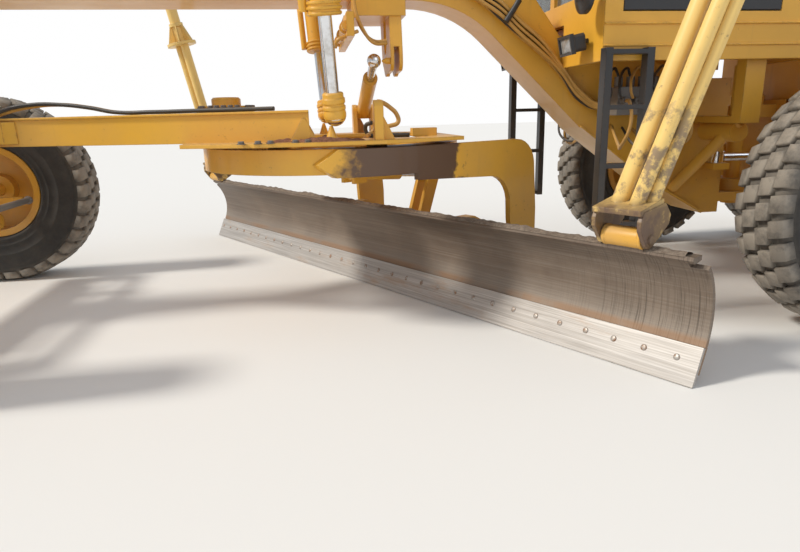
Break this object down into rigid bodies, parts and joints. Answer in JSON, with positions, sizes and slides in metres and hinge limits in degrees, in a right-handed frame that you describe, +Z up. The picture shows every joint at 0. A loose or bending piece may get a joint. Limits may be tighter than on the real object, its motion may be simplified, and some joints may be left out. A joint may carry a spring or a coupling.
{
  "type": "motor grader",
  "caption": "Hinged-frame motor grader with a cab over its arched front frame, tandem rear wheels, a turned moldboard and two tripod sensor masts.",
  "frame": {"origin": "on the ground, at the middle of the footprint of the whole machine with its turned blade and masts", "axes": "+X forward along the frame, +Y to the left of the driver, +Z up; the centreline of the frame lies 450 mm to the left of the origin"},
  "size_m": [8.5808, 4.2542, 3.3013],
  "materials": {
    "yellow_paint": "satin, dusty, chipped and rusty where dirt lies",
    "mast_paint": "faded pale yellow",
    "black_paint": "worn semi-matte",
    "blade_steel": "scratched and dusty",
    "edge_steel": "ground bright",
    "cast_iron": "rough, dusty",
    "chrome": "polished",
    "tyre_rubber": "dusty",
    "glass": "tinted",
    "cab_plastic": "fine grain"
  },
  "bodies": {
    "rear": {"rear_frame": "yellow_paint", "tandem_cases": "yellow_paint", "engine_block": "cast_iron", "hood": "yellow_paint", "radiator_grille": "black_paint", "exhaust_stack": "black_paint"},
    "front": {"front_frame": "yellow_paint", "front_axle": "yellow_paint", "saddle": "yellow_paint", "cab_shell": "yellow_paint", "cab_glass": "glass", "cab_interior": "cab_plastic", "steps": "black_paint", "lamps": "black_paint", "mirrors": "black_paint", "valve_bank": "cast_iron"},
    "wheel_rear_left_1": {"tyre_rear_left_1": "tyre_rubber", "rim_rear_left_1": "yellow_paint"},
    "wheel_rear_left_2": {"tyre_rear_left_2": "tyre_rubber", "rim_rear_left_2": "yellow_paint"},
    "wheel_rear_right_1": {"tyre_rear_right_1": "tyre_rubber", "rim_rear_right_1": "yellow_paint"},
    "wheel_rear_right_2": {"tyre_rear_right_2": "tyre_rubber", "rim_rear_right_2": "yellow_paint"},
    "wheel_front_left": {"tyre_front_left": "tyre_rubber", "rim_front_left": "yellow_paint"},
    "wheel_front_right": {"tyre_front_right": "tyre_rubber", "rim_front_right": "yellow_paint"},
    "lean_left": {"lean_bracket_left": "yellow_paint"},
    "lean_right": {"lean_bracket_right": "yellow_paint"},
    "knuckle_left": {"knuckle_left": "yellow_paint"},
    "knuckle_right": {"knuckle_right": "yellow_paint"},
    "lean_bar": {"lean_bar": "yellow_paint"},
    "tie_rod_end": {"tie_rod_end": "cast_iron"},
    "tie_rod": {"tie_rod": "cast_iron"},
    "steering_barrel": {"steering_barrel": "yellow_paint"},
    "steering_rod": {"steering_rod": "chrome"},
    "door_left": {"door_left": "black_paint"},
    "door_right": {"door_right": "black_paint"},
    "drawbar_ball": {"drawbar_ball": "cast_iron"},
    "drawbar": {"drawbar": "yellow_paint"},
    "circle": {"circle_frame": "yellow_paint"},
    "carrier": {"blade_carrier": "yellow_paint"},
    "moldboard": {"moldboard": "blade_steel", "cutting_edge": "edge_steel"},
    "mast_left": {"mast_left": "mast_paint"},
    "mast_right": {"mast_right": "mast_paint"},
    "lift_barrel_left": {"lift_barrel_left": "yellow_paint"},
    "lift_barrel_right": {"lift_barrel_right": "yellow_paint"},
    "lift_rod_left": {"lift_rod_left": "chrome"},
    "lift_rod_right": {"lift_rod_right": "chrome"},
    "shift_barrel": {"shift_barrel": "yellow_paint"},
    "shift_rod": {"shift_rod": "chrome"},
    "tip_barrel": {"tip_barrel": "yellow_paint"},
    "tip_rod": {"tip_rod": "chrome"},
    "hinge_barrel_left": {"hinge_barrel_left": "yellow_paint"},
    "hinge_barrel_right": {"hinge_barrel_right": "yellow_paint"},
    "hinge_rod_left": {"hinge_rod_left": "chrome"},
    "hinge_rod_right": {"hinge_rod_right": "chrome"}
  },
  "joints": [
    {"name": "articulation", "type": "hinge", "parent": "rear", "child": "front", "pos_m": [-1.65, 0.45, 0.88], "axis": [0, 0, -1], "range_deg": [-20, 20]},
    {"name": "spin_rear_left_1", "type": "hinge", "parent": "rear", "child": "wheel_rear_left_1", "pos_m": [-1.6, 1.605, 0.683], "axis": [0, 1, 0], "continuous": true},
    {"name": "spin_rear_left_2", "type": "hinge", "parent": "rear", "child": "wheel_rear_left_2", "pos_m": [-3.13, 1.605, 0.683], "axis": [0, 1, 0], "continuous": true},
    {"name": "spin_rear_right_1", "type": "hinge", "parent": "rear", "child": "wheel_rear_right_1", "pos_m": [-1.6, -0.705, 0.683], "axis": [0, 1, 0], "continuous": true},
    {"name": "spin_rear_right_2", "type": "hinge", "parent": "rear", "child": "wheel_rear_right_2", "pos_m": [-3.13, -0.705, 0.683], "axis": [0, 1, 0], "continuous": true},
    {"name": "spin_front_left", "type": "hinge", "parent": "knuckle_left", "child": "wheel_front_left", "pos_m": [3.577, 1.605, 0.683], "axis": [0, 1, 0], "continuous": true},
    {"name": "spin_front_right", "type": "hinge", "parent": "knuckle_right", "child": "wheel_front_right", "pos_m": [3.577, -0.705, 0.683], "axis": [0, 1, 0], "continuous": true},
    {"name": "lean_left", "type": "hinge", "parent": "front", "child": "lean_left", "pos_m": [3.577, 1.33, 0.48], "axis": [1, 0, 0], "range_deg": [-18, 18]},
    {"name": "lean_right", "type": "hinge", "parent": "front", "child": "lean_right", "pos_m": [3.577, -0.43, 0.48], "axis": [1, 0, 0], "range_deg": [-18, 18]},
    {"name": "lean_bar_turn", "type": "hinge", "parent": "lean_left", "child": "lean_bar", "pos_m": [3.647, 1.33, 0.86], "axis": [1, 0, 0], "range_deg": [-18, 18]},
    {"name": "steer_left", "type": "hinge", "parent": "lean_left", "child": "knuckle_left", "pos_m": [3.577, 1.33, 0.683], "axis": [0, 0, 1], "range_deg": [-50, 50]},
    {"name": "steer_right", "type": "hinge", "parent": "lean_right", "child": "knuckle_right", "pos_m": [3.577, -0.43, 0.683], "axis": [0, 0, 1], "range_deg": [-50, 50]},
    {"name": "tie_rod_end_turn", "type": "hinge", "parent": "knuckle_left", "child": "tie_rod_end", "pos_m": [3.337, 1.33, 0.625], "axis": [0, 0, 1], "range_deg": [-50, 50]},
    {"name": "tie_rod_turn", "type": "hinge", "parent": "tie_rod_end", "child": "tie_rod", "pos_m": [3.337, 1.33, 0.625], "axis": [1, 0, 0], "range_deg": [-18, 18]},
    {"name": "steering_barrel_swing", "type": "hinge", "parent": "front", "child": "steering_barrel", "pos_m": [3.347, 0.02, 0.69], "axis": [0, 0, 1], "range_deg": [-12, 12]},
    {"name": "steering_rod_slide", "type": "slide", "parent": "steering_barrel", "child": "steering_rod", "axis": [-0.1193, 0.9929, 0], "range_m": [-0.2, 0.2]},
    {"name": "door_left", "type": "hinge", "parent": "front", "child": "door_left", "pos_m": [-1.3, 1.165, 2.4], "axis": [0, 0, 1], "range_deg": [0, 34]},
    {"name": "door_right", "type": "hinge", "parent": "front", "child": "door_right", "pos_m": [-1.3, -0.265, 2.4], "axis": [0, 0, -1], "range_deg": [0, 90]},
    {"name": "centre_shift", "type": "hinge", "parent": "front", "child": "drawbar_ball", "pos_m": [3.25, 0.45, 1.11], "axis": [0, 0, -1], "range_deg": [-5.5, 4]},
    {"name": "blade_lower", "type": "hinge", "parent": "drawbar_ball", "child": "drawbar", "pos_m": [3.25, 0.45, 1.11], "axis": [0, -1, 0], "range_deg": [-9.5, 10]},
    {"name": "circle_turn", "type": "hinge", "parent": "drawbar", "child": "circle", "pos_m": [1.09, 0.45, 0.93], "axis": [0, 0, 1], "range_deg": [-69, 12]},
    {"name": "blade_tip", "type": "hinge", "parent": "circle", "child": "carrier", "pos_m": [0.35361, 0.00578, 0.33], "axis": [-0.5165, 0.8563, 0], "range_deg": [-5, 40]},
    {"name": "side_shift", "type": "slide", "parent": "carrier", "child": "moldboard", "axis": [-0.5165, 0.8563, 0], "range_m": [-0.387, 0.788]},
    {"name": "mast_left_tilt", "type": "hinge", "parent": "moldboard", "child": "mast_left", "pos_m": [-0.12234, 1.82666, 0.612], "axis": [-0.5165, 0.8563, 0], "range_deg": [-10, 30]},
    {"name": "mast_right_tilt", "type": "hinge", "parent": "moldboard", "child": "mast_right", "pos_m": [2.14782, -1.93664, 0.612], "axis": [-0.5165, 0.8563, 0], "range_deg": [-20, 20]},
    {"name": "lift_swing_left", "type": "hinge", "parent": "front", "child": "lift_barrel_left", "pos_m": [1.155, 1.32, 2.08], "axis": [1, 0, 0], "range_deg": [-16, 16]},
    {"name": "lift_slide_left", "type": "slide", "parent": "lift_barrel_left", "child": "lift_rod_left", "axis": [-0.0592, -0.1615, -0.9851], "range_m": [-0.38, 0.4]},
    {"name": "lift_swing_right", "type": "hinge", "parent": "front", "child": "lift_barrel_right", "pos_m": [1.155, -0.42, 2.08], "axis": [1, 0, 0], "range_deg": [-16, 16]},
    {"name": "lift_slide_right", "type": "slide", "parent": "lift_barrel_right", "child": "lift_rod_right", "axis": [-0.0592, 0.1615, -0.9851], "range_m": [-0.38, 0.4]},
    {"name": "shift_swing", "type": "hinge", "parent": "drawbar", "child": "shift_barrel", "pos_m": [0.838, -0.17, 1.18], "axis": [1, 0, 0], "range_deg": [-30, 32]},
    {"name": "shift_slide", "type": "slide", "parent": "shift_barrel", "child": "shift_rod", "axis": [0, 0.9481, 0.318], "range_m": [-0.17, 0.23]},
    {"name": "tip_swing", "type": "hinge", "parent": "circle", "child": "tip_barrel", "pos_m": [0.96156, 0.37252, 0.8], "axis": [-0.5165, 0.8563, 0], "range_deg": [-30, 30]},
    {"name": "tip_slide", "type": "slide", "parent": "tip_barrel", "child": "tip_rod", "axis": [-0.8538, -0.5151, -0.0755], "range_m": [-0.26, 0.06]},
    {"name": "hinge_swing_left", "type": "hinge", "parent": "rear", "child": "hinge_barrel_left", "pos_m": [-1.975, 0.78, 0.845], "axis": [0, 0, 1], "range_deg": [-16, 16]},
    {"name": "hinge_slide_left", "type": "slide", "parent": "hinge_barrel_left", "child": "hinge_rod_left", "axis": [0.9957, -0.0926, 0], "range_m": [-0.16, 0.16]},
    {"name": "hinge_swing_right", "type": "hinge", "parent": "rear", "child": "hinge_barrel_right", "pos_m": [-1.975, 0.12, 0.845], "axis": [0, 0, 1], "range_deg": [-16, 16]},
    {"name": "hinge_slide_right", "type": "slide", "parent": "hinge_barrel_right", "child": "hinge_rod_right", "axis": [0.9957, 0.0926, 0], "range_m": [-0.16, 0.16]}
  ],
  "couplings": [
    {"joint": "lean_right", "follows": "lean_left", "ratio": 1},
    {"joint": "lean_bar_turn", "follows": "lean_left", "ratio": -1},
    {"joint": "steer_right", "follows": "steer_left", "ratio": 1},
    {"joint": "tie_rod_end_turn", "follows": "steer_left", "ratio": -1},
    {"joint": "tie_rod_turn", "follows": "lean_left", "ratio": -1},
    {"joint": "steering_barrel_swing", "follows": "steer_left", "ratio": -0.04025},
    {"joint": "steering_rod_slide", "follows": "steer_left", "m_per_rad": -0.20917},
    {"joint": "lift_swing_left", "follows": "centre_shift", "ratio": 2.3497},
    {"joint": "lift_slide_left", "follows": "blade_lower", "m_per_rad": 2.11},
    {"joint": "lift_swing_right", "follows": "centre_shift", "ratio": 2.3497},
    {"joint": "lift_slide_right", "follows": "blade_lower", "m_per_rad": 2.11},
    {"joint": "shift_swing", "follows": "blade_lower", "ratio": 2.3},
    {"joint": "shift_slide", "follows": "centre_shift", "m_per_rad": -2.27},
    {"joint": "tip_swing", "follows": "blade_tip", "ratio": -0.49627},
    {"joint": "tip_slide", "follows": "blade_tip", "m_per_rad": -0.3173},
    {"joint": "hinge_swing_left", "follows": "articulation", "ratio": -0.45151},
    {"joint": "hinge_slide_left", "follows": "articulation", "m_per_rad": 0.29692},
    {"joint": "hinge_swing_right", "follows": "articulation", "ratio": -0.45151},
    {"joint": "hinge_slide_right", "follows": "articulation", "m_per_rad": -0.29692}
  ]
}
